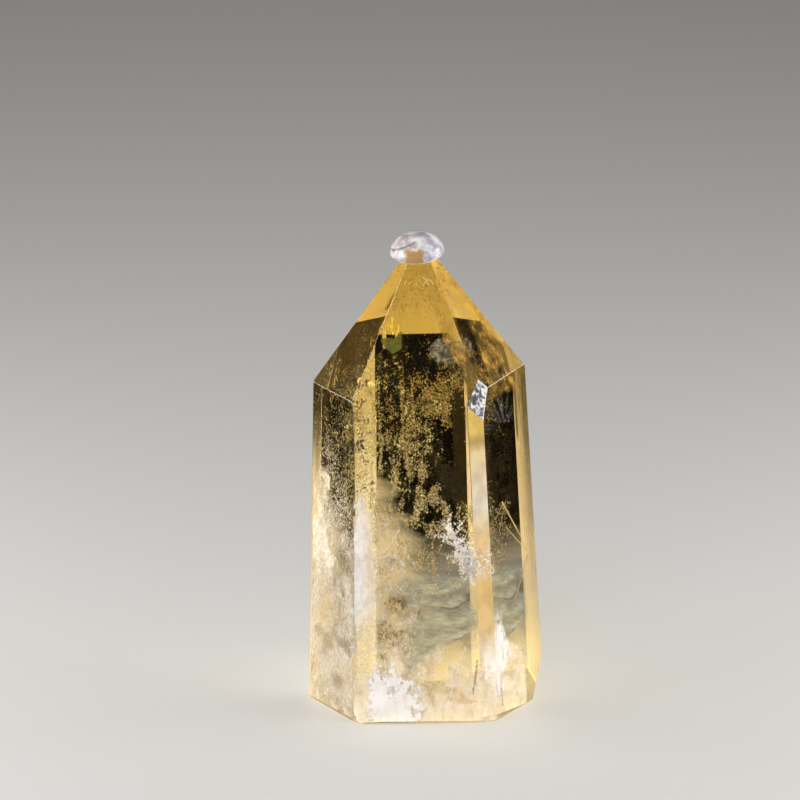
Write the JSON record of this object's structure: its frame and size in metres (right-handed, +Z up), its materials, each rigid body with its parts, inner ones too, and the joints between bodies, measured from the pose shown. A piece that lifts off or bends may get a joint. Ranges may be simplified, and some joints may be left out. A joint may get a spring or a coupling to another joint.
{
  "type": "polished citrine point",
  "caption": "Standing polished citrine point: a tapering see-through yellow crystal prism with a pyramid end, flat sawn foot and a small clear bead set over the tip.",
  "frame": {"origin": "centre of the flat sawn foot, on the surface the point stands on", "axes": "+Z up along the crystal to its tip, -Y towards the widest front face, +X to the right seen from the front"},
  "size_m": [0.0265, 0.0211, 0.0548],
  "materials": {
    "citrine": "polished see-through citrine quartz, honey yellow, with milky veils and clouds near the foot",
    "clear_resin": "clear set resin, glossy, slightly milky"
  },
  "bodies": {
    "root": {"crystal": "citrine", "tip_bead": "clear_resin"}
  },
  "joints": []
}
